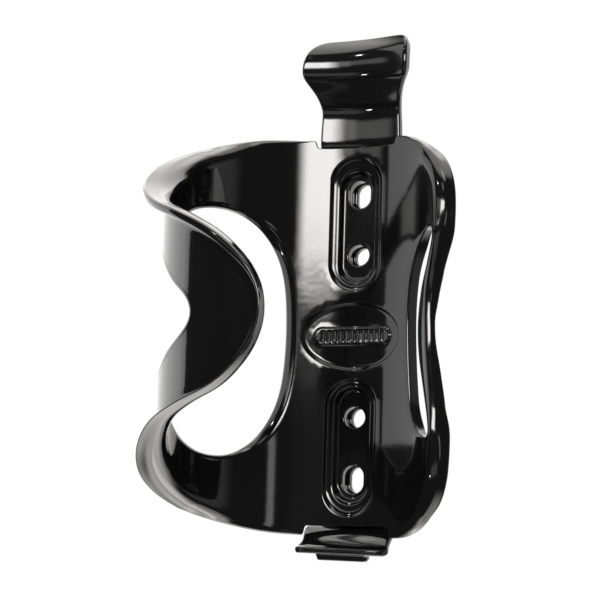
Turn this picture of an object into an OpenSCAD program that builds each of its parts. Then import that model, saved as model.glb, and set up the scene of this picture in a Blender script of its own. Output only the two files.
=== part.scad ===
// Side entry water bottle cage: a back plate with a long and a short wing, a strap behind it
// with a foot at the bottom, and a retaining tab at the top.
// +Z runs up along the bottle. The origin is on the rear mounting face, midway between the bolt
// holes. The bottle's axis is parallel to Z, in front of the mounting face (towards -Y).

/* [Bottle] */
// Radius of the bottle space inside the shell
bottle_r = 36.5; // [36:0.25:37.5]
// Distance from the mounting face to the bottle's axis
axis_y = 47; // [46.5:0.1:47.5]

/* [Shell] */
// Thickness of the moulded wall
wall = 2.6; // [2.2:0.1:3]
// Height of the rolled lip above the bottle face of the long wing
lip_long = 8; // [6:0.5:9]
// Height of the rolled lip above the bottle face of the short wing
lip_short = 6.3; // [5:0.1:7]
// Radius of the turn where the bottle face rolls out into the lip
lip_turn = 4.5; // [3.5:0.25:5]
// Angle round the bottle at which the long wing bends away from the back plate
split_deg = 24; // [22:0.5:26]
// Angle left free along the bending line
split_gap = 0.05; // [0.03:0.01:0.1]

/* [Bolt holes] */
// Radius of the bolt holes
hole_r = 3; // [2.75:0.05:3.25]
// Length of the two outer holes, which are slots along Z
slot_len = 8; // [7:0.5:9]
// Spacing of the two standard bolts
bolt_span = 64; // [64:1:64]
// Step between the lower and the upper mounting position
bolt_step = 17.6; // [17:0.2:18]

/* [Channels round the bolts] */
// Width of the channel at the bottle face
channel_w = 15.1; // [14:0.1:16]
// Width of the channel floor
floor_w = 10; // [9:0.5:11]
// Distance from the bottle's axis to the channel floor
floor_y = 39.5; // [39:0.1:40]
// Distance from the bottle's axis to the back of the pads
pad_y = 44.7; // [44.5:0.1:45]
// Width of the pads behind the channels
pad_w = 14.6; // [14:0.1:15]

/* [Spine] */
// Width of the strap behind the shell
strap_w = 24; // [22:0.5:24]
// Radius of the hollow across the width of the retaining tab, which follows the bottle
tab_hollow_r = 45; // [40:1:60]
// Depth of the notch that lets the strap through the top rim
notch_top = 2.1; // [1.5:0.1:3]
// Depth of the notch that lets the strap through the bottom rim
notch_bottom = 2.7; // [1.5:0.1:3]
// Radius of the round root that the tab bends about
root_r = 1.45; // [1.3:0.05:1.45]
// Running clearance round the root
root_gap = 0.05; // [0.03:0.01:0.1]

/* [Hidden] */
black = [0.07, 0.07, 0.075];

// Pieces are drawn with y measured from the bottle's axis; to_mount() moves them into place.
arc_r = bottle_r + 1.5;                   // radius at which lengths round the shell are taken
outer_hole_z = (bolt_span + bolt_step) / 2;
inner_hole_z = (bolt_span - bolt_step) / 2;
cut_front = 30;                           // holes and channels are cut from this y
cut_back = 50;                            // holes are cut to this y

// Back plate
rim_top = 56.6;
rim_bottom = -56.8;
root_deg = 23;                            // angle at which the plate passes into the short wing
root_inset = 0.06;                        // short wing's faces lie this far inside the plate's
rim_corner = [[1, 0], [0.3, 0.4], [0, 1.2]];  // rounding: [in from the face, in from the rim]
pad_front = bottle_r + 1;
channel_step_y = bottle_r + 0.9;          // where the channel narrows to its floor
channel_inset = 2;                        // the wide part is cut this much under channel_w
// End centres of the lower and the upper one: [low z, high z]
pad_ends = [[-42.6, -19.8], [19.8, 42.6]];
channel_ends = [[-43.2, -20.7], [20.2, 43.7]];
floor_ends = [[-41.6, -20.2], [20.2, 41.6]];
notch_gap_top = 0.35;                     // free width on each side of the strap
notch_gap_bottom = 0.65;

// Tab root and strap
root_y = pad_y + 0.8;
root_z = 51.8;
strap_bottom = -45;
strap_top = root_z - 0.6;

// Wing section
band_mids = 2;                            // points between window and turn, on each face
window_chamfer = 0.5;
edge_turn = 1.3;                          // turn radius where there is no lip
square_cut = 0.95;                        // taken off edge_turn along a square edge
turn_share = 0.72;                        // largest turn, as a share of the band's width
edge_thick = 1;                           // thickness at the edge where there is no lip
lip_thinning = 0.2;                       // a full lip is this much thinner than the wall
thick_share = 0.75;                       // largest edge thickness, as a share of the turn
outer_turn_min = 0.25;
flat_step = 0.6;                          // spreads the outer turn's points where there is no lip
edge_round = 0.9;                         // drop from the crest to the inner side of the edge
crest_drop = 0.75;                        // drop to the outer side, on a full lip
tangent_step = 0.02;                      // in stations

// Edge stations: [angle round the bottle from the back plate's centre line, + towards -X;
// height; share of the full lip]. A share of -1 is the square edge along the bending line.
// Long wing: up the bending line, over the top to the tip, and back along the bottom.
long_edge = [
    [24, 0, -1], [24, 22, -1], [24, 40, -1], [24, 50, -1], [24, 54.2, -1], [24.15, 55.8, -1],
    [24.8, 56.5, -0.5], [27, 56.6, 0], [33, 56.4, 0], [45, 55.6, 0.12], [62, 52.8, 0.4],
    [80, 48, 0.75], [98, 41.8, 0.97], [116, 34.8, 1], [134, 28.8, 1], [152, 24, 1],
    [167, 18.6, 1], [178, 11.5, 1], [183, 5, 1], [185, -1, 1], [183, -7, 1], [178, -14, 1],
    [168, -20.8, 1], [152, -25.4, 1], [136, -29.8, 1], [119, -35.8, 1], [102, -41.8, 0.97],
    [84, -47.3, 0.75], [65, -52.1, 0.4], [46, -55.2, 0.12], [33, -56.5, 0], [27, -56.8, 0],
    [24.8, -56.7, -0.5], [24.15, -56, -1], [24, -54.4, -1], [24, -50, -1], [24, -40, -1],
    [24, -22, -1]
];
// Short wing: up inside the back plate, over the top, down the free edge, back along the bottom.
short_edge = [
    [-19.6, 0, 0], [-19.6, 28, 0], [-20, 46, 0], [-21.4, 55.2, 0], [-25, 56.5, 0.05],
    [-32, 54.8, 0.35], [-40, 50.6, 0.7], [-45.5, 45, 0.92], [-48, 38, 1], [-47.2, 30, 1],
    [-44.3, 21, 0.95], [-40.5, 12, 0.85], [-38.6, 5, 0.8], [-38.2, -1, 0.8], [-39, -7, 0.82],
    [-42, -16, 0.88], [-46.5, -25, 0.95], [-49, -33, 1], [-48.8, -40, 1], [-45, -47.2, 0.92],
    [-38, -52.6, 0.7], [-31, -56, 0.35], [-25, -56.7, 0.05], [-21.4, -55.4, 0],
    [-20, -46, 0], [-19.6, -28, 0]
];

// Window stations: [angle, height]
long_window = [
    [29.5, 0], [31, 15], [36, 25], [46, 31.5], [60, 34.4], [78, 33], [98, 26.5], [118, 17.5],
    [136, 8.5], [146, 3], [150, -2], [146, -6.5], [134, -12], [118, -18.5], [98, -27.4],
    [78, -33.7], [60, -35.4], [46, -32.2], [36, -25], [31, -15]
];
short_window = [
    [-26.8, 0], [-27.2, 10], [-28.3, 20], [-31.5, 27], [-36.5, 30.3], [-40.4, 28.5],
    [-40, 22], [-36.8, 12.5], [-34.2, 4], [-33.8, -2], [-35, -9], [-38.6, -18],
    [-41.6, -26], [-39.8, -29.6], [-35.3, -27.5], [-31, -21], [-28.2, -12]
];

// Window station that faces each edge station; the last entry closes the loop
long_facing = [
    0, 0.9, 1.5, 1.9, 2.1, 2.2, 2.3, 2.4, 2.6, 3, 4, 5, 6, 7, 8, 8.7, 9.2, 9.6, 9.8, 10,
    10.2, 10.5, 11, 11.6, 12.2, 13, 13.8, 14.7, 15.7, 16.9, 17.3, 17.6, 17.7, 17.8, 17.9,
    18.1, 18.5, 19.1, 20
];
short_facing = [
    0, 1.6, 2.3, 3, 3.3, 3.7, 4.1, 4.5, 5, 5.5, 6.1, 7, 7.9, 8.9, 9.7, 10.8, 11.8, 12.4,
    12.7, 13, 13.4, 13.8, 14.1, 14.4, 15, 16, 17
];

// Foot seen from the side: [y, z]
foot_profile = [
    [pad_y, -40], [pad_y, -50.2], [44.1, -51.8], [42.6, -52.9], [41, -53.5], [39.7, -54],
    [38, -55.1], [36.8, -56.9], [35.6, -58.7], [33.8, -59.8], [32, -60.2], [30.2, -60.1],
    [29.8, -60.6], [30.3, -61.4], [32.4, -62.2], [34.8, -61.9], [36.9, -60.8], [38.4, -58.9],
    [39.7, -57.2], [41.4, -56.2], [43.6, -55.4], [45.7, -54],
    [axis_y - 0.2, -52], [axis_y, -50.4], [axis_y, -40]
];
// +X half of the foot seen along Y, from the top down: [x, z]
foot_half = [
    [12, -39], [12, -58.6], [12.6, -59.4], [13.6, -59.9], [14, -60.6], [13.4, -61.4], [12, -62.6]
];

// Tab from the root up: [front y, front z, back y, back z, half width]
tab_stations = [
    [root_y - 0.9, root_z + 0.5, root_y + 1.2, root_z + 0.6, strap_w / 2],
    [43, 52.8, 45.8, 54.4, 12], [41.1, 53.7, 44, 56.2, 12], [39.6, 54.6, 42.7, 57.3, 12],
    [39.2, 56, 42.4, 58.3, 12], [39.2, 59, 42.3, 60.2, 12], [39.2, 62.4, 42.3, 62.9, 11.9],
    [39.1, 64.4, 42.1, 65.4, 11.8], [38.4, 66.4, 41.4, 68.2, 12], [37, 69, 39.9, 71.2, 12.9],
    [35.3, 71.6, 38.5, 73.7, 14.4], [33.8, 73.9, 37.7, 75.4, 15.6],
    [33.2, 76.2, 37.4, 76.9, 16.2], [33.2, 79.2, 37.4, 78.5, 16.3],
    [33.8, 81.5, 38, 80, 16.2], [35.1, 83.4, 39.1, 81.6, 15.6], [36.5, 85, 40.1, 83, 14.4],
    [37.6, 86, 40.7, 84, 12.8], [38.5, 86.1, 40.4, 84.9, 11.8]
];
tab_steps = 8;                            // steps across the tab's width
hollow_z = 54.4;                          // the tab's hollow starts here
hollow_rise = 4.2;                        // and is full this much higher

// ---- curves ----
function reversed(list) = [for (i = [len(list) - 1:-1:0]) list[i]];
function unit(v) = v / norm(v);
function wrap(i, count) = ((i % count) + count) % count;

// Catmull-Rom curve between "from" and "to"
function spline(before, from, to, after, t) =
    0.5 * (2 * from + (to - before) * t
        + (2 * before - 5 * from + 4 * to - after) * t * t
        + (3 * from - before - 3 * to + after) * t * t * t);

// point of a closed curve at a fractional station
function on_loop(loop, station) =
    let (count = len(loop), i = floor(station))
    spline(loop[wrap(i - 1, count)], loop[wrap(i, count)], loop[wrap(i + 1, count)],
        loop[wrap(i + 2, count)], station - i);

// [angle, height] to [arc length, height], and from there to a point "out" from the bottle face
function flat(p) = [p[0] * PI / 180 * arc_r, p[1]];
function on_shell(p, out) =
    let (angle = p[0] / arc_r * 180 / PI)
    [-(bottle_r + out) * sin(angle), (bottle_r + out) * cos(angle), p[1]];

// Triangles that join rows of "size" points, each row a closed loop
function row_faces(bands, rows, size, flip = false) = [
    for (i = [0:bands - 1]) for (j = [0:size - 1])
        let (
            a = i * size + j,
            b = i * size + (j + 1) % size,
            c = ((i + 1) % rows) * size + (j + 1) % size,
            d = ((i + 1) % rows) * size + j
        )
        each (flip ? [[a, b, c], [a, c, d]] : [[a, c, b], [a, d, c]])
];

// ---- wings: a closed cross section carried once round a window ----
// side is 1 for the long wing, whose edge runs clockwise in the [angle, height] plane,
// and -1 for the short wing. inset draws both faces into the wall.
function section(edge, window, facing, station, lip, side, inset) =
    let (
        outer = wall - inset,
        place = on_loop(edge, station),
        edge_deg = side > 0 ? max(place[0], split_deg + split_gap) : place[0],
        share = max(0, min(1, place[2])),
        rim = flat([edge_deg, place[1]]),
        tangent = flat(on_loop(edge, station + tangent_step))
            - flat(on_loop(edge, station - tangent_step)),
        normal = unit(side * [-tangent[1], tangent[0]]),
        win = flat(on_loop(window, lookup(station, facing))),
        turn = min(edge_turn - square_cut * max(0, -place[2]) + (lip_turn - edge_turn) * share,
            turn_share * norm(rim - win)),
        crest = outer + (lip - outer) * share,
        thick = min(edge_thick + (outer - lip_thinning - edge_thick) * share,
            turn * thick_share),
        outer_turn = max(turn - thick, outer_turn_min) * share,
        spread = (1 - share) * flat_step,
        inner_end = rim - turn * normal,
        outer_end = rim - (turn + 3 * spread) * normal
    )
    concat(
        // bottle face, from the window to the turn
        [on_shell(win, inset + window_chamfer)],
        [on_shell(win + window_chamfer * unit(inner_end - win), inset)],
        [for (i = [1:band_mids])
            on_shell(win + (inner_end - win) * i / (band_mids + 1), inset)],
        [for (a = [0:30:90])
            on_shell(rim - (turn - turn * sin(a)) * normal, inset + turn * (1 - cos(a)))],
        // over the edge
        [on_shell(rim, crest - edge_round)],
        [on_shell(rim - thick * 0.5 * normal, crest)],
        [on_shell(rim - thick * normal, crest - crest_drop * share)],
        // outer face, back to the window
        [for (k = [0:3]) let (a = 90 - 30 * k)
            on_shell(rim - (turn - outer_turn * sin(a) + spread * k) * normal,
                outer + outer_turn * (1 - cos(a)))],
        [for (i = [band_mids:-1:1])
            on_shell(win + (outer_end - win) * i / (band_mids + 1), outer)],
        [on_shell(win, outer)]
    );

// steps is the number of sections per edge station
module wing(edge, window, facing, steps, lip, side, inset = 0) {
    facing_pairs = [for (i = [0:len(facing) - 1]) [i, facing[i]]];
    count = len(edge) * steps;
    rows = [for (i = [0:count - 1])
        section(edge, window, facing_pairs, i / steps, lip, side, inset)];
    polyhedron(points = [for (row = rows) each row],
        faces = row_faces(count, count, len(rows[0]), side < 0), convexity = 10);
}

// ---- features of the back plate ----
// bar along Z with round ends centred at ends[0] and ends[1]
module racetrack(width, ends, y0, y1) {
    for (z = ends)
        translate([0, y1, z]) rotate([90, 0, 0]) cylinder(r = width / 2, h = y1 - y0, $fn = 64);
    translate([-width / 2, y0, ends[0]]) cube([width, y1 - y0, ends[1] - ends[0]]);
}

module bolt_hole(z, length) {
    half = length / 2 - hole_r;
    if (length > 2 * hole_r)
        racetrack(2 * hole_r, [z - half, z + half], cut_front, cut_back);
    else
        translate([0, cut_back, z]) rotate([90, 0, 0])
            cylinder(r = hole_r, h = cut_back - cut_front, $fn = 64);
}

module bolt_holes() {
    for (s = [-1, 1]) {
        bolt_hole(s * outer_hole_z, slot_len);
        bolt_hole(s * inner_hole_z, 2 * hole_r);
    }
}

module pads() {
    for (ends = pad_ends) racetrack(pad_w, ends, pad_front, pad_y);
}

module channels() {
    for (ends = channel_ends)
        racetrack(channel_w - channel_inset, ends, cut_front, channel_step_y);
    for (ends = floor_ends) racetrack(floor_w, ends, cut_front, floor_y);
}

module strap_notches() {
    depth = 25;
    height = 10;
    for (notch = [[notch_gap_top, rim_top - notch_top],
                  [notch_gap_bottom, rim_bottom - height + notch_bottom]])
        translate([-strap_w / 2 - notch[0], 25, notch[1]])
            cube([strap_w + 2 * notch[0], depth, height]);
}

// slice of the wall from the short wing's root to the bending line
module back_plate() {
    outer_r = bottle_r + wall;
    rotate([0, 0, 90 - root_deg]) rotate_extrude(angle = root_deg + split_deg, $fn = 180)
        polygon(concat(
            [for (c = rim_corner) [bottle_r + c[0], rim_bottom + c[1]]],
            [for (c = reversed(rim_corner)) [bottle_r + c[0], rim_top - c[1]]],
            [for (c = rim_corner) [outer_r - c[0], rim_top - c[1]]],
            [for (c = reversed(rim_corner)) [outer_r - c[0], rim_bottom + c[1]]]));
}

// ---- features of the spine and the tab ----
module foot() {
    intersection() {
        rotate([90, 0, 90]) translate([0, 0, -16]) linear_extrude(height = 32)
            polygon(foot_profile);
        rotate([90, 0, 0]) translate([0, 0, -60]) linear_extrude(height = 60)
            polygon(concat(foot_half, [for (p = reversed(foot_half)) [-p[0], p[1]]]));
    }
}

module root_rod(radius, length) {
    translate([-length / 2, root_y, root_z]) rotate([0, 90, 0])
        cylinder(r = radius, h = length, $fn = 48);
}

// moves a point of the tab towards the bottle's axis, more so away from the middle
function hollowed(x, y, z) =
    let (t = min(1, max(0, (z - hollow_z) / hollow_rise)))
    [x, y - x * x / (2 * tab_hollow_r) * t * t * (3 - 2 * t), z];

module tab_strip() {
    size = 2 * tab_steps + 2;
    count = len(tab_stations);
    last = (count - 1) * size;
    points = [for (s = tab_stations) each concat(
        [for (j = [0:tab_steps]) hollowed(s[4] * (2 * j / tab_steps - 1), s[0], s[1])],
        [for (j = [tab_steps:-1:0]) hollowed(s[4] * (2 * j / tab_steps - 1), s[2], s[3])])];
    ends = [for (j = [0:tab_steps - 1]) let (k = size - 1 - j) each [
        [j, j + 1, k], [j + 1, k - 1, k],
        [last + j, last + k, last + j + 1], [last + j + 1, last + k, last + k - 1]]];
    polyhedron(points = points, faces = concat(row_faces(count - 1, count, size), ends),
        convexity = 8);
}

// ---- pieces ----
module to_mount() { translate([0, -axis_y, 0]) children(); }

module cage_body() {
    color(black) to_mount() union() {
        difference() {
            union() {
                back_plate();
                pads();
            }
            channels();
            bolt_holes();
            strap_notches();
        }
        wing(short_edge, short_window, short_facing, steps = 2, lip = lip_short, side = -1,
            inset = root_inset);
    }
}

module long_wing() {
    color(black) to_mount()
        wing(long_edge, long_window, long_facing, steps = 3, lip = lip_long, side = 1);
}

module rear_spine() {
    color(black) to_mount() difference() {
        union() {
            translate([-strap_w / 2, pad_y, strap_bottom])
                cube([strap_w, axis_y - pad_y, strap_top - strap_bottom]);
            foot();
            // rib under the foot
            translate([-7.8, 31, -63.8]) cube([15.6, 4.6, 2.4]);
        }
        bolt_holes();
        // round seat of the tab's root
        root_rod(root_r + root_gap, 40);
    }
}

module retaining_tab() {
    color(black) to_mount() union() {
        tab_strip();
        root_rod(root_r, strap_w);
    }
}

cage_body();
long_wing();
rear_spine();
retaining_tab();
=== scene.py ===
"""Bottle cage in gloss black plastic: a wrapped shell, and a strap behind it.

The bottle stands upright along Z, with its axis AXIS_Y in front (-Y) of the mounting face at y = 0.
The shell's back plate lies behind the bottle. Its long wing wraps round the -X side to the front,
its short wing round the +X side. The strap has a foot below, a flat spine and a tab above.
Pieces are drawn in millimetres and built in metres.
"""
import math
import bpy
import bmesh
import numpy as np
from mathutils import Matrix, Vector
from mathutils.geometry import delaunay_2d_cdt


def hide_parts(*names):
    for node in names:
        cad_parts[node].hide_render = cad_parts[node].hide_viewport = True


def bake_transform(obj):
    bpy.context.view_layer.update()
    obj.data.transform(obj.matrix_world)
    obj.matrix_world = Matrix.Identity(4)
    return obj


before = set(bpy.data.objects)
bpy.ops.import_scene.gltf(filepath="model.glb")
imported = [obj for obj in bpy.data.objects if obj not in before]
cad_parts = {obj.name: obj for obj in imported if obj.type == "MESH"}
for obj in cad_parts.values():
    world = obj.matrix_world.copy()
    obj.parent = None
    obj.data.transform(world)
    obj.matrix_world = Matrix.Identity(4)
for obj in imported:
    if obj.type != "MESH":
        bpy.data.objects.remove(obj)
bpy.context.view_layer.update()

MM = 0.001
DEG = math.pi / 180
R0 = 36.5        # bottle face radius
WALL = 2.6       # wall thickness
HALF = WALL / 2
RW = 38.0        # radius at which lengths round the shell are taken
AXIS_Y = 47.0    # bottle axis to mounting face
BOLTS = ((23.2, 0.0), (40.8, 2.0))    # height and slot length, repeated below z = 0
CHUNK = 4000     # points handled at once, to save memory


# ---------------------------------------------------------------- curves
def catmull(stations, per, closed=True):
    """Catmull-Rom curve through the stations, with per samples to a span."""
    stations = np.array(stations, float)
    count = len(stations)
    if closed:
        t = np.arange(count * per) / per
    else:
        t = np.linspace(0, count - 1, (count - 1) * per + 1)
    i = np.floor(t).astype(int)
    if not closed:
        i = np.minimum(i, count - 2)
    f = (t - i)[:, None]

    def at(k):
        return stations[k % count] if closed else stations[np.clip(k, 0, count - 1)]
    before, here, after, beyond = at(i - 1), at(i), at(i + 1), at(i + 2)
    return 0.5 * (2 * here + (after - before) * f
                  + (2 * before - 5 * here + 4 * after - beyond) * f ** 2
                  + (3 * here - before - 3 * after + beyond) * f ** 3)


def run_length(points):
    return np.concatenate([[0], np.cumsum(np.hypot(*np.diff(points, axis=0).T))])


def interp_columns(at, length, table):
    return np.stack([np.interp(at, length, table[:, k]) for k in range(table.shape[1])], 1)


def resample(curve, spacing, weight=None):
    """Closed curve, evenly spaced, or closer where weight is above 1."""
    ring = np.vstack([curve, curve[:1]])
    length = run_length(ring[:, :2])
    if weight is not None:
        share = weight(0.5 * (ring[1:, :2] + ring[:-1, :2]))
        length = np.concatenate([[0], np.cumsum(np.diff(length) * share)])
    count = max(12, int(round(length[-1] / spacing)))
    return interp_columns(np.arange(count) * length[-1] / count, length, ring)


def gaussian(sigma, reach):
    offsets = np.arange(-reach, reach + 1)
    weights = np.exp(-0.5 * (offsets / sigma) ** 2)
    return offsets, weights / weights.sum()


def soften(values, sigma):
    """Gaussian blur round a closed loop; sigma is in samples."""
    offsets, weights = gaussian(sigma, int(3 * sigma) + 1)
    return sum(w * np.roll(values, -k, axis=0) for k, w in zip(offsets, weights))


def soften_open(table, sigma):
    """Gaussian blur along an open curve, carried past both ends by point reflection."""
    reach = int(3 * sigma)
    weights = gaussian(sigma, reach)[1]
    padded = np.vstack([2 * table[:1] - table[1:reach + 1][::-1], table,
                        2 * table[-1:] - table[-reach - 1:-1][::-1]])
    return np.stack([np.convolve(column, weights, "valid") for column in padded.T], 1)


def outward(curve, hole):
    """Unit normals of a closed curve that point out of the material."""
    along = np.roll(curve[:, :2], -1, 0) - np.roll(curve[:, :2], 1, 0)
    along /= np.linalg.norm(along, axis=1)[:, None]
    normal = np.stack([along[:, 1], -along[:, 0]], 1)
    x, y = curve[:, 0], curve[:, 1]
    twice_area = np.sum(x * np.roll(y, -1) - y * np.roll(x, -1))
    return -normal if (twice_area > 0) == hole else normal


def set_back(curve, normal, reach):
    return curve[:, :2] - reach[:, None] * normal


def inside(points, loop):
    """Even-odd test of points against a closed loop."""
    start, end = loop, np.roll(loop, -1, 0)
    rise = end[:, 1] - start[:, 1]
    rise = np.where(np.abs(rise) < 1e-12, 1e-12, rise)
    result = np.zeros(len(points), bool)
    for k in range(0, len(points), CHUNK):
        x, y = points[k:k + CHUNK, 0:1], points[k:k + CHUNK, 1:2]
        crosses = (start[:, 1] > y) != (end[:, 1] > y)
        x_cross = start[:, 0] + (y - start[:, 1]) * (end[:, 0] - start[:, 0]) / rise
        result[k:k + CHUNK] = (np.sum(crosses & (x < x_cross), axis=1) % 2) == 1
    return result


def clearance(points, loop):
    """Distance from each point to the loop's nearest point."""
    result = np.zeros(len(points))
    for k in range(0, len(points), CHUNK):
        gap = points[k:k + CHUNK, None, :] - loop[None, :, :]
        result[k:k + CHUNK] = np.sqrt((gap ** 2).sum(2).min(1))
    return result


def step(x):
    """Smooth step from 0 to 1."""
    x = np.clip(x, 0, 1)
    return x * x * (3 - 2 * x)


def racetrack(bottom, top, radius, stretch, arc, side):
    """Closed loop round the segment from bottom to top; stretch widens it along the first axis."""
    turn = np.linspace(0, math.pi, arc + 1)
    upper = np.stack([stretch * radius * np.cos(turn), top + radius * np.sin(turn)], 1)
    lower = np.stack([-stretch * radius * np.cos(turn), bottom - radius * np.sin(turn)], 1)
    t = np.linspace(0, 1, side + 1)[1:-1][:, None]
    down = upper[-1] + (lower[0] - upper[-1]) * t
    back_up = lower[-1] + (upper[0] - lower[-1]) * t
    return np.vstack([upper, down, lower, back_up])


def bolt_hole(z, slot, radius, slack=0.0):
    """Round hole, or a slot along z where slot is not 0."""
    if slot:
        return racetrack(z - slot / 2 - slack, z + slot / 2 + slack, radius, 1.0, 22, 5)
    turn = np.linspace(0, 2 * math.pi, 49)[:-1]
    return np.stack([radius * np.cos(turn), z + radius * np.sin(turn)], 1)


# ---------------------------------------------------------------- moulded sheet
class Sheet:
    """Two faces over one flat domain. Each point has two heights, for the inner (bottle side)
    and outer faces; edge rows join the faces. A height is a number, an array or a function."""

    def __init__(self):
        self.points, self.inner, self.outer, self.faces, self.edges = [], [], [], [], []
        self.count = 0

    def add(self, points, inner, outer):
        self.points.append(points)
        for store, height in ((self.inner, inner), (self.outer, outer)):
            height = height(points) if callable(height) else height
            store.append(np.full(len(points), height, float))
        ids = np.arange(self.count, self.count + len(points))
        self.count += len(points)
        return ids

    def terrace(self, rows):
        """Nested loops joined by strips; returns the first and last loops."""
        loops = [self.add(*row) for row in rows]
        for near, far in zip(loops[:-1], loops[1:]):
            quads = np.stack([near, np.roll(near, -1), np.roll(far, -1), far], 1)
            self.faces += [tuple(q) for q in quads.tolist()]
        return loops[0], loops[-1]

    def edge(self, curve, normal, rows, inner, outer):
        """Loop set back from the curve by the section's reach, with the section's rows."""
        depth, height, reach = rows
        ids = self.add(set_back(curve, normal, reach), inner, outer)
        self.edges.append((ids, curve[:, :2], normal, depth, height))
        return ids

    def region(self, border, holes, grid, inner, outer, keep=0.62):
        """Triangles over a grid between loops; keep is the grid's least gap to a loop, in cells."""
        all_points = np.vstack(self.points)
        loops = [border] + list(holes)
        outlines = [all_points[i] for i in loops]

        def within(points):
            result = inside(points, outlines[0])
            for hole in outlines[1:]:
                result &= ~inside(points, hole)
            return result
        lo, hi = outlines[0].min(0), outlines[0].max(0)
        axes = [np.arange(math.floor(lo[k] / grid[k]) * grid[k], hi[k], grid[k]) for k in (0, 1)]
        fill = np.stack(np.meshgrid(*axes, indexing="ij"), -1).reshape(-1, 2)
        fill = fill[within(fill)]
        gap = np.min([clearance(fill, outline) for outline in outlines], axis=0)
        fill = fill[gap > keep * min(grid)]
        ids = np.concatenate(loops + [self.add(fill, inner, outer)])
        points = np.vstack(outlines + [fill])
        borders, first = [], 0
        for loop in loops:
            size = len(loop)
            borders += [(first + k, first + (k + 1) % size) for k in range(size)]
            first += size
        found, _, triangles, sources, _, _ = delaunay_2d_cdt(
            [Vector(q) for q in points.tolist()], borders, [], 0, 1e-7)
        source = np.array([s[0] if s else -1 for s in sources])
        triangles = np.array([t for t in triangles if len(t) == 3])
        centres = np.array([tuple(q) for q in found])[triangles].mean(1)
        chosen = source[triangles[within(centres)]]
        chosen = chosen[(chosen >= 0).all(1)]
        self.faces += [tuple(q) for q in ids[chosen].tolist()]

    def build(self, name, place):
        """Object whose vertices are place(first, second, height), given in mm."""
        points = np.vstack(self.points)
        verts = [place(points[:, 0], points[:, 1], np.concatenate(heights))
                 for heights in (self.inner, self.outer)]
        total = 2 * self.count
        faces = list(self.faces)
        faces += [tuple(i + self.count for i in reversed(f)) for f in self.faces]
        for ids, curve, normal, depth, height in self.edges:
            rows = [ids]
            for k in range(len(depth)):
                row = set_back(curve, normal, depth[k])
                verts.append(place(row[:, 0], row[:, 1], height[k]))
                rows.append(np.arange(total, total + len(curve)))
                total += len(curve)
            rows.append(ids + self.count)
            for near, far in zip(rows[:-1], rows[1:]):
                quads = np.stack([near, np.roll(near, -1), np.roll(far, -1), far], 1)
                faces += [tuple(q) for q in quads.tolist()]
        mesh = bpy.data.meshes.new(name)
        mesh.from_pydata((np.vstack(verts) * MM).tolist(), [], faces)
        bm = bmesh.new()
        bm.from_mesh(mesh)
        bmesh.ops.recalc_face_normals(bm, faces=bm.faces)
        if bm.calc_volume(signed=True) < 0:
            bmesh.ops.reverse_faces(bm, faces=bm.faces)
        for face in bm.faces:
            face.smooth = True
        bm.to_mesh(mesh)
        bm.free()
        mesh.update()
        return link(name, mesh)


def link(name, data):
    ob = bpy.data.objects.new(name, data)
    bpy.context.scene.collection.objects.link(ob)
    return ob


# ---------------------------------------------------------------- edge sections
# Each returns depth behind the curve and height, as (rows, samples), and the section's reach.
def lip_rows(turn, radius, flat, tip, lead, steps, cap_steps):
    """Rolled edge: straight for lead, bent by turn at radius, straight for flat.
    The half thickness goes from HALF to tip, and a squarish cap closes it."""
    share = (np.linspace(0, 1, steps + 1) ** 0.9)[:, None]
    run = share * (lead + radius * turn + flat)
    bend = np.clip((run - lead) / radius, 0, turn)
    after = np.clip(run - lead - radius * turn, 0, None)
    out = np.minimum(run, lead) + radius * np.sin(bend) + after * np.cos(turn)
    up = HALF + radius * (1 - np.cos(bend)) + after * np.sin(turn)
    half = HALF + (tip - HALF) * step(share)
    square = 0.8    # 1 would make the cap round
    beta = np.linspace(0, math.pi, cap_steps + 2)[1:-1][:, None]
    across = np.sign(np.cos(beta)) * np.abs(np.cos(beta)) ** square
    ahead = np.sin(beta) ** square
    out_cap = out[-1] + tip * (across * np.sin(turn) + ahead * np.cos(turn))
    up_cap = up[-1] + tip * (-across * np.cos(turn) + ahead * np.sin(turn))
    outs = np.vstack([out + half * np.sin(bend), out_cap, (out - half * np.sin(bend))[::-1]])
    ups = np.vstack([up - half * np.cos(bend), up_cap, (up + half * np.cos(bend))[::-1]])
    reach = outs.max(0)
    return (reach - outs)[1:-1], ups[1:-1], reach


def wall_rows(base, top, radius, lead, arc=5, middle=4):
    """Plain edge between two heights, rounded at both faces."""
    turn = np.linspace(0, math.pi / 2, arc)[:, None]
    t = np.linspace(0, 1, middle)[1:-1][:, None]
    round_out = lead + radius * np.sin(turn) + 0 * base
    side_out = (lead + radius) + 0 * base + 0 * t
    outs = np.vstack([round_out, side_out, round_out[::-1]])
    ups = np.vstack([base + radius * (1 - np.cos(turn)),
                     (base + radius) + (top - base - 2 * radius) * t,
                     top - radius * (1 - np.cos(turn[::-1]))])
    reach = outs.max(0)
    return reach - outs, ups, reach


def flange_rows(height, radius, wide, reach):
    """Square edge: rounded at the bottle face, wide across its top, back to the wall at reach."""
    zero = 0 * height
    turn = np.linspace(0, math.pi / 2, 5)[:, None]
    side = np.linspace(0, 1, 5)[1:-1][:, None]
    slope = np.linspace(0, 1, 7)[1:-1][:, None]
    top_radius = np.minimum(0.6, 0.42 * wide)
    top_end = np.maximum(top_radius, wide - 0.35)
    depth = np.vstack([radius * (1 - np.sin(turn)) + zero, 0 * side + zero,
                       top_radius * (1 - np.cos(turn)),
                       top_end + (reach - 0.12 - top_end) * slope])
    ups = np.vstack([radius * (1 - np.cos(turn)) + zero,
                     radius + (height - radius - top_radius) * side,
                     height - top_radius + top_radius * np.sin(turn),
                     height + (WALL - height) * step(slope)])
    return depth, ups, reach


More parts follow.
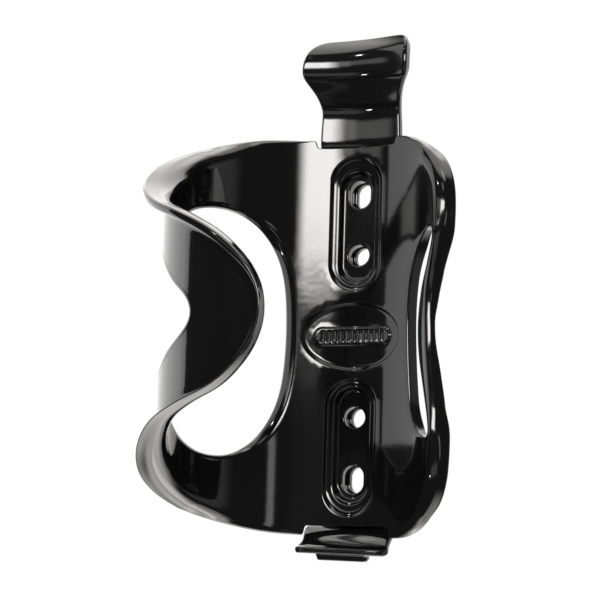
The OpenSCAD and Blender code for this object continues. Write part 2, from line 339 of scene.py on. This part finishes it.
# ---------------------------------------------------------------- shell
# angle round the bottle (0 behind, 90 at -X), height, share of the full lip,
# side (0 long wing, 1 short wing)
OUTLINE = [
    [-12, 56.4, 0, 0.5], [0, 56.25, 0, 0.5], [12, 56.15, 0, 0.5], [23, 56.05, 0, 0],
    [34, 55.9, 0.03, 0], [46, 55.1, 0.13, 0], [62, 52.4, 0.4, 0], [80, 47.5, 0.75, 0],
    [98, 41.4, 0.97, 0], [116, 34.6, 1, 0], [134, 28.8, 1, 0], [152, 24, 1, 0],
    [167, 18.6, 1, 0], [178.2, 11.6, 1, 0], [184, 5, 1, 0], [185.7, -1.2, 1, 0],
    [184.6, -7.4, 1, 0], [179.6, -14.4, 1, 0], [169, -21.4, 1, 0], [152.6, -26, 1, 0],
    [136, -30.4, 1, 0], [119, -36.5, 1, 0], [102, -42.7, 0.97, 0], [84, -48.1, 0.75, 0],
    [65, -52.6, 0.4, 0], [47, -55.3, 0.13, 0], [34, -56.4, 0.03, 0], [23, -56.7, 0, 0],
    [12, -56.8, 0, 0.5], [0, -56.8, 0, 0.5], [-12, -56.8, 0, 0.5], [-22.6, -57.2, 0.06, 1],
    [-31.6, -56, 0.4, 1], [-39.6, -51, 0.85, 1], [-45.4, -45.3, 1, 1], [-48.6, -40.3, 1, 1],
    [-49.8, -34, 1, 1], [-49.6, -27, 0.95, 1], [-48.2, -19.5, 0.8, 1], [-46.0, -11.5, 0.6, 1],
    [-44.2, -4, 0.45, 1], [-43.4, 3, 0.42, 1], [-42.9, 9, 0.6, 1], [-44.5, 15, 0.8, 1],
    [-47.8, 22, 0.9, 1], [-50.4, 29, 1, 1], [-50.9, 36, 1, 1], [-48.9, 42, 1, 1],
    [-44, 47.4, 1, 1], [-37, 52, 0.85, 1], [-28.8, 55.4, 0.4, 1], [-21.5, 56.6, 0.06, 1],
]
# windows in the wings: angle, height
LONG_WINDOW = [
    [29.8, 0], [31.3, 15], [36.6, 24.8], [46, 31.2], [60, 34.0], [78, 32.5], [98, 26],
    [118, 16.7], [136, 7.4], [147, 2.4], [150.8, -2], [146.4, -6.1], [133, -11.4],
    [117, -18.2], [97.5, -27.4], [78, -33.7], [60, -35.4], [46, -32.2], [36.6, -25],
    [31.4, -15],
]
SHORT_WINDOW = [
    [-29.0, 3], [-29.3, 10], [-30.8, 17.2], [-34.3, 23.2], [-38.6, 27.2], [-42.2, 29.0],
    [-45.6, 28.2], [-45.2, 25], [-41.8, 19.2], [-38.0, 12.8], [-36.1, 6.5], [-35.6, 0],
    [-36.8, -6.8], [-39.3, -13], [-42.4, -19.4], [-45.0, -25], [-45.6, -28.8], [-42, -29.4],
    [-36.4, -27.0], [-32.5, -21.6], [-30.6, -13.4], [-29.5, -5],
]
# bolt channel, bottle face: loop radius, height (CHANNEL_TOP is the ledge)
CHANNEL_SIDE = [
    (8.1, 0.0), (7.85, 0.02), (7.65, 0.09), (7.48, 0.26), (7.32, 0.52), (7.14, 0.78),
    (6.9, 0.96), (6.55, 1.05), (6.15, 1.1), (5.75, 1.14),
]
CHANNEL_TOP = 1.14
# loop radius, share of the way from ledge to floor
CHANNEL_FLOOR = [
    (5.42, 0.05), (5.2, 0.19), (5.04, 0.42), (4.92, 0.66), (4.78, 0.88), (4.55, 0.98),
    (4.25, 1.0),
]
CHANNEL_LOW = 20.2       # height of its lower end's centre
SHELL_HOLE_RADIUS = 3.0
# emblem, sunk in the bottle face: distance in from the ellipse, depth
EMBLEM_RING = [
    (-0.3, 0), (-0.05, 0.02), (0.12, 0.09), (0.27, 0.25), (0.4, 0.45), (0.55, 0.68),
    (0.74, 0.87), (1.0, 0.97), (1.4, 1.0), (1.9, 1.0),
]
EMBLEM_Z = -0.4
EMBLEM_HALF = (15.6, 9.75)
# bar across the emblem: end radius, depth
EMBLEM_BAR = [(2.95, 1.0), (2.75, 0.98), (2.6, 0.88), (2.45, 0.7), (2.3, 0.56), (2.1, 0.5)]
BAR_HALF = 9.3
RIB_PITCH = 1.7


def smooth_outline(stations, blur):
    """Closed curve in mm round the shell, from stations in degrees."""
    stations = np.array(stations, float)
    stations[:, 0] *= DEG * RW
    return soften(resample(catmull(stations, 40), 0.25), blur)


def degrees(curve):
    return curve[:, 0] / (DEG * RW)


def flat_at(radius):
    """Height of a flat face that far behind the bottle axis."""
    return lambda points: radius / np.cos(points[:, 0] / RW) - R0


def notch(x, z):
    """Steps in the rims that let the strap through."""
    top = 2.15 * (1 - step((np.abs(x) - 12.05) / 0.7))
    bottom = 2.75 * (1 - step((np.abs(x) - 12.75) / 0.8))
    return np.where(z > 40, z - top, np.where(z < -40, z + bottom, z))


def notch_density(points):
    """Closer samples at the notch corners."""
    corner = (np.abs(np.abs(points[:, 0]) - 12.9) < 1.9) & (np.abs(points[:, 1]) > 50)
    return 1 + 3.5 * corner


def shell_rim(window_start):
    """Outer edge of the shell: curve, normals and section rows."""
    curve = smooth_outline(OUTLINE, 5.0)
    curve[:, 1] = notch(curve[:, 0], curve[:, 1])
    curve = resample(curve, 0.12)
    curve[:, :2] = soften(curve[:, :2], 3.2)
    curve = resample(curve, 1.0, notch_density)
    normal = outward(curve, False)
    lip, side = np.clip(curve[:, 2], 0, 1), np.clip(curve[:, 3], 0, 1)
    at_notch = (np.abs(curve[:, 0]) < 16.5) & (np.abs(curve[:, 1]) > 50)
    tight = soften(at_notch.astype(float), 2.5)
    full = step((lip - 0.82) / 0.18)    # 1 where the lip is at full size

    def wings(long, short):
        return long * (1 - side) + short * side
    flat_short = np.interp(lip, [0, 0.42, 0.6, 0.8, 1], [0, 0.25, 1.15, 1.8, 1.9])
    depth, height, reach = lip_rows(
        turn=wings(90 * DEG * np.clip(1.7 * lip, 0, 1) ** 0.9,
                   DEG * (84 * np.clip(1.9 * lip, 0, 1) ** 0.9)),
        radius=wings(3.2, 0.85 + 1.2 * full),
        flat=wings(2.5 * lip, flat_short),
        tip=wings(HALF - (1.1 - 0.95 * step(curve[:, 1] / 20)) * lip,
                  HALF - 0.35 * np.clip(2 * lip, 0, 1)),
        lead=wings(0.9, 0.9 - 0.9 * np.clip(2.4 * lip, 0, 1) + 0.7 * full) * (1 - 0.9 * tight),
        steps=11, cap_steps=9)
    # the edge gives way where the short window leaves little room, and at the notches
    room = np.clip((clearance(curve[:, :2], window_start) - 0.3) / reach, 0.3, 1)
    room = np.minimum(room, soften(room, 2.5))
    squeeze = (1 - 0.72 * tight) * room
    return curve, normal, (depth * squeeze, height, reach * squeeze)


def long_window():
    """Rolled edge, turned further towards the back plate."""
    curve = resample(smooth_outline(LONG_WINDOW, 4.0), 1.0)
    near_back = 1 - step((degrees(curve) - 32) / 30)
    rows = lip_rows(turn=DEG * (10 + 38 * near_back), radius=2.0, flat=0.1 + 0.5 * near_back,
                    tip=HALF, lead=0.5, steps=8, cap_steps=7)
    return curve, outward(curve, True), rows


def short_window():
    """Square edge, raised outwards on the back plate's side."""
    curve = resample(smooth_outline(SHORT_WINDOW, 3.0), 0.75)
    raised = step((degrees(curve) + 41.0) / 7.0)
    rows = flange_rows(height=WALL + 1.15 * raised, radius=0.5, wide=0.85 + 0.9 * raised,
                       reach=0.85 + 2.0 * raised)
    return curve, outward(curve, True), rows


def channel(sheet, sign):
    """Pocket round two bolts, above (sign 1) or below (-1); returns its border loop."""
    ledge, floor, pad = flat_at(37.05), flat_at(39.45), flat_at(44.66)

    def row(radius, side=None, sink=None):
        stretch = np.interp(radius, [4.9, 7.5], [0.99, 1.045])
        top = np.interp(radius, [4.9, 7.4], [41.6, 43.7])
        loop = racetrack(CHANNEL_LOW, top, radius, stretch, 24, 26) * [1, sign]
        if sink is None:
            inner = ledge(loop) * (side / CHANNEL_TOP)
        else:
            inner = ledge(loop) + (floor(loop) - ledge(loop)) * sink
        raised = step(np.interp(radius, [6.9, 7.66], [1, 0]))
        return loop, inner, WALL + (pad(loop) - WALL) * raised
    border, last = sheet.terrace([row(r, side=v) for r, v in CHANNEL_SIDE]
                                 + [row(r, sink=v) for r, v in CHANNEL_FLOOR])
    holes = []
    for z, slot in BOLTS:
        hole = bolt_hole(z, slot, SHELL_HOLE_RADIUS, slack=0.0001) * [1, sign]
        rows = wall_rows(floor(hole), pad(hole), radius=0.3, lead=0.25)
        holes.append(sheet.edge(hole, outward(hole, True), rows, floor, pad))
    sheet.region(last, holes, (0.9, 0.9), floor, pad)
    return border


def emblem(sheet):
    """Oval sunk in the bottle face, with a ribbed bar across it; returns its border loop."""
    turn = np.linspace(0, 2 * math.pi, 151)[:-1]

    def ellipse(inset):
        return np.stack([(EMBLEM_HALF[0] - inset) * np.cos(turn),
                         EMBLEM_Z + (EMBLEM_HALF[1] - inset) * np.sin(turn)], 1)

    def bar(radius):
        return racetrack(-BAR_HALF, BAR_HALF, radius, 1.0, 16, 40)[:, ::-1] + [0, EMBLEM_Z]

    def ribs(points):
        x, z = points[:, 0], points[:, 1]
        wave = step(1 - np.abs(((x / RIB_PITCH) % 1.0) - 0.5) / 0.34)
        ends = step((1.75 - np.abs(z - EMBLEM_Z)) / 0.4)
        return 0.5 + 0.42 * wave * ends * step((10.2 - np.abs(x)) / 0.6)
    border, ring_end = sheet.terrace([(ellipse(inset), v, WALL) for inset, v in EMBLEM_RING])
    bar_border, bar_end = sheet.terrace([(bar(radius), v, WALL) for radius, v in EMBLEM_BAR])
    sheet.region(bar_end, [], (0.3, 0.36), ribs, WALL, keep=0.5)
    sheet.region(ring_end, [bar_border], (1.0, 1.0), 1.0, WALL)
    return border


def place_shell(x, z, height):
    angle = x / RW
    # the long wing is slightly thicker
    height = height + 0.8 * step((angle / DEG - 60) / 45) * np.clip(height / WALL, 0, 1)
    return np.stack([-(R0 + height) * np.sin(angle),
                     (R0 + height) * np.cos(angle) - AXIS_Y, z], 1)


def shell():
    sheet = Sheet()
    short = short_window()
    start = set_back(short[0], short[1], short[2][2])
    rim = sheet.edge(*shell_rim(start), 0, WALL)
    holes = [sheet.edge(*long_window(), 0, WALL), sheet.edge(*short, 0, WALL)]
    holes += [channel(sheet, sign) for sign in (1, -1)]
    holes.append(emblem(sheet))
    sheet.region(rim, holes, (1.25, 1.25), 0, WALL)
    return sheet.build("shell", place_shell)


# ---------------------------------------------------------------- strap
# foot, spine and tab in one moulding, from the foot's lip up to the tab's top:
# front face y, z, back face y, z, half width; y is from the bottle's axis
STRAP = [
    [30.3, -60.2, 30.5, -61.8, 13.5], [31.8, -60.3, 32.0, -62.1, 13.9],
    [33.5, -59.8, 34.2, -61.9, 12.9], [35.0, -58.7, 36.4, -60.9, 12.3],
    [36.2, -57.2, 38.0, -58.9, 12.2], [37.3, -55.8, 39.4, -57.4, 12.5],
    [38.8, -54.6, 41.0, -56.3, 12.7], [41.0, -53.6, 43.4, -55.4, 12.6],
    [43.4, -52.3, 45.9, -53.4, 12.3], [44.6, -49.9, 47, -50.2, 12],
    [44.7, -45, 47, -45, 12], [44.7, -36, 47, -36, 12], [44.7, -26, 47, -26, 12],
    [44.7, -13, 47, -13, 12], [44.7, 0, 47, 0, 12], [44.7, 13, 47, 13, 12],
    [44.7, 26, 47, 26, 12], [44.7, 36, 47, 36, 12], [44.7, 45, 47, 45, 12],
    [44.6, 50.2, 47, 50.6, 12], [43.0, 52.3, 46.0, 54.1, 12], [41.1, 53.2, 44.0, 56.0, 12],
    [39.5, 54.0, 42.7, 57.1, 12], [39.2, 55.0, 42.4, 58.0, 12],
    [39.2, 59.0, 42.35, 60.2, 12], [39.2, 62.4, 42.3, 62.9, 11.85],
    [39.1, 64.4, 42.1, 65.4, 11.75], [38.4, 66.4, 41.4, 68.2, 12.0],
    [37.0, 69.0, 39.9, 71.2, 12.9], [35.3, 71.6, 38.5, 73.7, 14.4],
    [33.75, 73.7, 37.7, 75.2, 15.6], [33.25, 75.6, 37.4, 76.5, 16.0],
    [33.2, 79.8, 37.4, 78.8, 15.9], [33.8, 81.8, 38.0, 80.3, 15.8],
    [35.1, 83.6, 39.1, 81.8, 15.6], [36.6, 85.0, 40.1, 83.0, 15.2],
    [37.8, 86.2, 40.8, 84.2, 14.6],
]
STRAP_HOLE_RADIUS = 2.75
TAB_HOLLOW = 45.0        # radius of the tab's hollow across its width
# rib under the foot: distance in from its border, share of its height
FOOT_RIB = [(0.0, 0), (0.22, 0.04), (0.42, 0.2), (0.58, 0.5), (0.72, 0.8), (0.92, 0.96), (1.2, 1.0)]
FOOT_RIB_HEIGHT = 1.75
FOOT_RIB_CENTRE = [-0.5, 3.55]    # x, distance up the strap


class StrapPath:
    """Section of the strap at a distance v up its length."""

    def __init__(self):
        table = catmull(STRAP, 30, closed=False)
        # even spacing, then smoothed so that the bends have no creases, more so above
        length = run_length(0.5 * (table[:, 0:2] + table[:, 2:4]))
        table = interp_columns(np.arange(0, length[-1], 0.1), length, table)
        upper = step((0.5 * (table[:, 1] + table[:, 3]) - 50) / 8)[:, None]
        table = soften_open(table, 7.0) * (1 - upper) + soften_open(table, 8.0) * upper
        self.table = table
        self.middle = 0.5 * (table[:, 0:2] + table[:, 2:4])
        self.length = run_length(self.middle)
        self.end = self.length[-1]

    def column(self, v, k):
        return np.interp(v, self.length, self.table[:, k])

    def thick(self, v):
        return np.hypot(self.column(v, 0) - self.column(v, 2),
                        self.column(v, 1) - self.column(v, 3))

    def thick_at(self, points):
        return self.thick(points[:, 1])

    def at_height(self, z):
        rising = (self.middle[:, 1] > -48) & (self.middle[:, 1] < 70)
        return np.interp(z, self.middle[rising, 1], self.length[rising])

    def place(self, x, v, height):
        v = np.clip(v, 0, self.end)
        share = height / self.thick(v)
        y = self.column(v, 0) + (self.column(v, 2) - self.column(v, 0)) * share
        z = self.column(v, 1) + (self.column(v, 3) - self.column(v, 1)) * share
        y = y - x * x / (2 * TAB_HOLLOW) * step((z - 51.2) / 3.8)
        # the tab's top edge and the foot's lip are not quite level
        z = z + 0.045 * x * step((z - 72) / 12) - 0.02 * x * step((-57.5 - z) / 2)
        return np.stack([x, y - AXIS_Y, z], 1)


def strap_outline(path):
    """Closed outline, with rounded corners at the tab and at the foot's +X corner."""
    v = np.linspace(0, path.end, 900)
    half = path.column(v, 4)
    foot_bulge = 1.15 * step((v - 1.8) / 2.2) * step((16 - v) / 2.5)
    tab_taper = 2.2 * step((v - path.end + 10) / 10)
    right = np.stack([half, v], 1)
    left = np.stack([-half - foot_bulge + tab_taper, v], 1)[::-1]

    def across(start, end, v_end):
        return np.stack([np.linspace(start, end, 150)[1:-1], np.full(148, v_end)], 1)
    curve = np.vstack([right, across(right[-1, 0], left[0, 0], path.end),
                       left, across(left[-1, 0], right[0, 0], 0.0)])
    curve = resample(curve, 0.15)
    tab = step((curve[:, 1] - (path.end - 14)) / 8)[:, None]
    corner = (step((curve[:, 0] - 7) / 3) * step((6 - curve[:, 1]) / 3))[:, None]
    curve = ((soften(curve, 4.0) * (1 - tab) + soften(curve, 17.0) * tab) * (1 - corner)
             + soften(curve, 30.0) * corner)
    return resample(curve, 0.85)


def rib_loop(inset):
    """Rounded rectangle, inset from the foot rib's border."""
    half_x, half_v, radius = 8.1 - inset, 1.95 - inset * 0.7, 1.2 - inset * 0.6
    corners = []
    for k, (sign_x, sign_v) in enumerate(((1, 1), (-1, 1), (-1, -1), (1, -1))):
        turn = np.linspace(90 * k, 90 * k + 90, 6) * DEG
        corners.append(np.stack([sign_x * (half_x - radius) + radius * np.cos(turn),
                                 sign_v * (half_v - radius) + radius * np.sin(turn)], 1))
    loop = []
    for k in range(4):
        start, end = corners[k][-1], corners[(k + 1) % 4][0]
        spans = 16 if k % 2 == 0 else 3
        t = np.linspace(0, 1, spans + 1)[1:-1][:, None]
        loop += [corners[k], start + (end - start) * t]
    return np.vstack(loop) + FOOT_RIB_CENTRE


def strap():
    path = StrapPath()
    sheet = Sheet()
    curve = strap_outline(path)
    normal = outward(curve, False)
    thick = path.thick_at(curve)
    radius = (np.minimum(0.75, 0.40 * thick)
              + 0.15 * step((curve[:, 1] - path.at_height(60.0)) / 12))
    depth, height, reach = wall_rows(0 * thick, thick, radius, lead=0.5, arc=8, middle=5)
    # heights follow the local thickness along each row
    height = height / thick * path.thick(curve[:, 1] - depth * normal[:, 1])
    rim = sheet.edge(curve, normal, (depth, height, reach), 0, path.thick_at)

    holes = []
    for sign in (1, -1):
        for z, slot in BOLTS:
            hole = bolt_hole(0.0, slot, STRAP_HOLE_RADIUS) + [0, path.at_height(sign * z)]
            thick = path.thick_at(hole)
            rows = wall_rows(0 * thick, thick, radius=0.3, lead=0.25)
            holes.append(sheet.edge(hole, outward(hole, True), rows, 0, path.thick_at))

    rib_rows = []
    for inset, share in FOOT_RIB:
        loop = rib_loop(inset)
        rib_rows.append((loop, 0, path.thick_at(loop) + FOOT_RIB_HEIGHT * share))
    rib_border, rib_end = sheet.terrace(rib_rows)
    sheet.region(rib_end, [], (0.8, 0.8), 0,
                 lambda points: path.thick_at(points) + FOOT_RIB_HEIGHT, keep=0.5)
    sheet.region(rim, holes + [rib_border], (1.1, 0.9), 0, path.thick_at)
    return sheet.build("strap", path.place)


# ---------------------------------------------------------------- materials
class Nodes:
    """Emptied node tree of a material or world, with short ways to add nodes."""

    def __init__(self, owner):
        owner.use_nodes = True
        self.tree = owner.node_tree
        self.tree.nodes.clear()

    def new(self, kind, inputs, **settings):
        """Adds a node; an input given a socket is linked, any other is set."""
        node = self.tree.nodes.new("ShaderNode" + kind)
        for key, value in settings.items():
            setattr(node, key, value)
        for key, value in inputs.items():
            if isinstance(value, bpy.types.NodeSocket):
                self.tree.links.new(value, node.inputs[key])
            else:
                node.inputs[key].default_value = value
        return node

    def math(self, operation, *values):
        return self.new("Math", dict(enumerate(values)), operation=operation).outputs[0]

    def remap(self, value, lo, hi, to_lo=0.0, to_hi=1.0, kind="LINEAR"):
        inputs = {"Value": value, "From Min": lo, "From Max": hi, "To Min": to_lo, "To Max": to_hi}
        return self.new("MapRange", inputs, interpolation_type=kind).outputs[0]


def plastic(name, base, rough, worn):
    """Gloss black moulding: fine orange peel, faint flow marks, scuffs, dust and worn edges."""
    mat = bpy.data.materials.new(name)
    nodes = Nodes(mat)
    coords = nodes.new("TexCoord", {}).outputs["Object"]

    def noise(scale, detail, roughness=0.5, stretch=None):
        vector = coords
        if stretch:
            vector = nodes.new("Mapping", {0: coords, "Scale": stretch}).outputs[0]
        return nodes.new("TexNoise", {"Scale": scale, "Detail": detail, "Roughness": roughness,
                                      "Vector": vector}).outputs["Fac"]

    def bump(strength, distance, height, **normal):
        return nodes.new("Bump", {"Strength": strength, "Distance": distance,
                                  "Height": height, **normal}).outputs[0]
    pointiness = nodes.new("NewGeometry", {}).outputs["Pointiness"]
    edge = nodes.remap(pointiness, lo=0.53, hi=0.62)
    flow = noise(scale=60, detail=3, roughness=0.55, stretch=(1.0, 1.0, 0.25))
    scuff = nodes.remap(noise(scale=420, detail=6, roughness=0.7, stretch=(0.35, 0.35, 2.2)),
                        lo=0.62, hi=0.72)
    dust = nodes.remap(noise(scale=2600, detail=2), lo=0.70, hi=0.78)
    color = nodes.new("Mix", {"Factor": nodes.math("MULTIPLY", edge, 0.35),
                              "A": (*base, 1), "B": (*worn, 1)}, data_type="RGBA")
    roughness = nodes.remap(flow, lo=0.3, hi=0.7, to_lo=rough, to_hi=rough + 0.05)
    for mark, amount in ((scuff, 0.10), (edge, 0.06), (dust, 0.12)):
        roughness = nodes.math("ADD", roughness, nodes.math("MULTIPLY", mark, amount))
    peel = bump(strength=0.10, distance=0.0002, height=noise(scale=160, detail=2))
    grain = bump(strength=0.05, distance=0.00005,
                 height=noise(scale=900, detail=4, roughness=0.6), Normal=peel)
    surface = nodes.new("BsdfPrincipled", {
        "Base Color": color.outputs["Result"], "Roughness": roughness, "IOR": 1.5,
        "Coat Weight": 0.15, "Coat Roughness": 0.06, "Normal": grain})
    nodes.new("OutputMaterial", {0: surface.outputs[0]})
    return mat


# ---------------------------------------------------------------- stage (metres)
CENTRE = Vector((0, -0.047, 0.01))


def area_light(name, location, facing, width, height, power):
    light = bpy.data.lights.new(name, "AREA")
    light.shape = "RECTANGLE"
    light.size, light.size_y = width, height
    light.energy = power
    ob = link(name, light)
    ob.location = location
    ob.rotation_euler = facing.to_track_quat("-Z", "Y").to_euler()
    ob.visible_camera = False
    return ob


def lamp(name, azimuth, elevation, power):
    """Small lamp aimed at CENTRE. Azimuth 0 is in front (-Y), 90 is +X."""
    a, e = azimuth * DEG, elevation * DEG
    direction = Vector((math.sin(a) * math.cos(e), -math.cos(a) * math.cos(e), math.sin(e)))
    location = CENTRE + 1.3 * direction
    area_light(name, location, CENTRE - location, width=0.075, height=0.05, power=power)


def left_card():
    """Upright glowing card close on the left (-X), from beside the object to well behind."""
    front, back = Vector((-0.0827, -0.0887, 0.091)), Vector((-0.17, 0.156, 0.091))
    along = (back - front).normalized()
    card = area_light("card_left", (front + back) / 2, Vector((along.y, -along.x, 0)),
                      width=(back - front).length, height=0.23, power=0.30)
    card.visible_diffuse = False


def studio():
    """World: reflections see panels placed by direction, in degrees; the camera sees white."""
    world = bpy.data.worlds.new("world")
    bpy.context.scene.world = world
    nodes = Nodes(world)
    math_node = nodes.math
    direction = nodes.new("TexCoord", {}).outputs["Generated"]
    x, y, z = nodes.new("SeparateXYZ", {0: direction}).outputs
    azimuth = math_node("MULTIPLY", math_node("ARCTAN2", x, math_node("MULTIPLY", y, -1.0)),
                        180 / math.pi)
    elevation = math_node("MULTIPLY", math_node("ARCSINE", z), 180 / math.pi)
    away = math_node("ABSOLUTE", azimuth)
    down = math_node("MULTIPLY", elevation, -1.0)

    def rise(angle, start, end):
        """0 below start, 1 above end."""
        return nodes.remap(angle, start, end, kind="SMOOTHSTEP")

    def product(first, *others):
        for other in others:
            first = math_node("MULTIPLY", first, other)
        return first

    def band(angle, limits, blur):
        lo, hi = limits
        fall = math_node("SUBTRACT", 1.0, rise(angle, hi - blur, hi + blur))
        return product(rise(angle, lo - blur, lo + blur), fall)

    def panel(across, up, blur, strength):
        """Soft-edged box; across is in azimuth, up in elevation, blur in both."""
        return product(band(azimuth, across, blur[0]), band(elevation, up, blur[1]), strength)
    # the last factor of each product is its strength
    parts = [
        # paper behind: all of it, its upper part, its lower part
        product(rise(away, 132, 156), 0.85),
        product(rise(away, 132, 156), rise(elevation, 18, 32), 1.4),
        product(rise(away, 132, 156), rise(down, 26, 42), 2.0),
        # ceiling
        product(rise(elevation, 50, 63), 2.2),
        # table on the right
        product(rise(down, 44, 58), rise(azimuth, 62, 92), 2.6),
        # front panel, and a weak one to its left
        panel(across=(-3, 29), up=(7.6, 17), blur=(6, 0.8), strength=19.0),
        panel(across=(-42, -14), up=(10.4, 17), blur=(4, 0.6), strength=1.3),
        # table below
        product(rise(down, 62, 71), 1.8),
        # the front panel's grey surround
        panel(across=(-15, -3), up=(9.0, 17), blur=(3, 1.4), strength=2.2),
        # second panel above the front panel
        panel(across=(12, 28), up=(32, 44), blur=(5, 4), strength=2.0),
        # lamp overhead
        panel(across=(40, 62), up=(50, 70), blur=(4, 4), strength=3.5),
        # narrow strip
        panel(across=(45.5, 51.5), up=(-6, 5.2), blur=(1.6, 1.0), strength=2.2),
        # paper in front, low
        panel(across=(-20, 34), up=(-23, -9), blur=(6, 3), strength=0.7),
        # right and left walls
        panel(across=(90, 128), up=(-30, 20), blur=(8, 6), strength=0.35),
        panel(across=(-140, -88), up=(-22, 16), blur=(3, 3), strength=0.5),
    ]
    total = 0.07    # glow from all round
    for part in parts:
        total = math_node("ADD", part, total)

    def background(color, strength):
        return nodes.new("Background", {0: (*color, 1), 1: strength}).outputs[0]

    def mix(factor, first, second):
        return nodes.new("MixShader", {0: factor, 1: first, 2: second}).outputs[0]
    rays = nodes.new("LightPath", {}).outputs
    seen = mix(rays["Is Diffuse Ray"], background((1.0, 0.985, 0.965), total),
               background((1, 1, 1), 0.95))
    seen = mix(rays["Is Camera Ray"], seen, background((1, 1, 1), 1.0))
    nodes.new("OutputWorld", {0: seen})


def add_floor():
    mesh = bpy.data.meshes.new("floor")
    bm = bmesh.new()
    bmesh.ops.create_circle(bm, cap_ends=True, radius=3.0, segments=96)
    bm.to_mesh(mesh)
    bm.free()
    floor = link("floor", mesh)
    floor.location = (0, 0, -0.081)
    floor.visible_glossy = False
    mat = bpy.data.materials.new("floor")
    mat.use_nodes = True
    inputs = mat.node_tree.nodes["Principled BSDF"].inputs
    inputs["Base Color"].default_value = (0.85, 0.85, 0.85, 1)
    inputs["Roughness"].default_value = 0.7
    mesh.materials.append(mat)


def add_camera():
    """Long lens, in front, to the right and slightly below, rolled a little."""
    data = bpy.data.cameras.new("camera")
    data.sensor_width = 36
    data.sensor_height = 36
    data.sensor_fit = "HORIZONTAL"
    data.lens = 134.1
    data.clip_start = 0.01
    data.clip_end = 50
    camera = link("camera", data)
    target = Vector((-0.00195, -0.04776, 0.00529))
    location = Vector((0.21346, -0.60288, -0.06842))
    roll = 1.70 * DEG
    forward = (target - location).normalized()
    right = forward.cross(Vector((0, 0, 1))).normalized()
    up = right.cross(forward)
    rolled_right = right * math.cos(roll) + up * math.sin(roll)
    rolled_up = -right * math.sin(roll) + up * math.cos(roll)
    camera.location = location
    camera.rotation_euler = Matrix((rolled_right, rolled_up, -forward)).transposed().to_euler()
    bpy.context.scene.camera = camera


# ---------------------------------------------------------------- assembly
shell_mat = plastic("shell_plastic", base=(0.0026, 0.0026, 0.0028), rough=0.055,
                    worn=(0.05, 0.05, 0.052))
strap_mat = plastic("strap_plastic", base=(0.0034, 0.0034, 0.0038), rough=0.065,
                    worn=(0.055, 0.055, 0.057))

shell_ob = shell()
shell_ob.data.materials.append(shell_mat)
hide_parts("cage_body", "long_wing")
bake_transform(shell_ob)

strap_ob = strap()
strap_ob.data.materials.append(strap_mat)
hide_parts("rear_spine", "retaining_tab")
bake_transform(strap_ob)

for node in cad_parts.values():
    node.data.materials.clear()
    node.data.materials.append(shell_mat)

lamp("lamp_high", azimuth=-27, elevation=36, power=1.2)
lamp("lamp_low", azimuth=-27, elevation=-19, power=0.9)
left_card()
studio()
add_floor()
add_camera()
bpy.context.scene.view_settings.view_transform = "Standard"
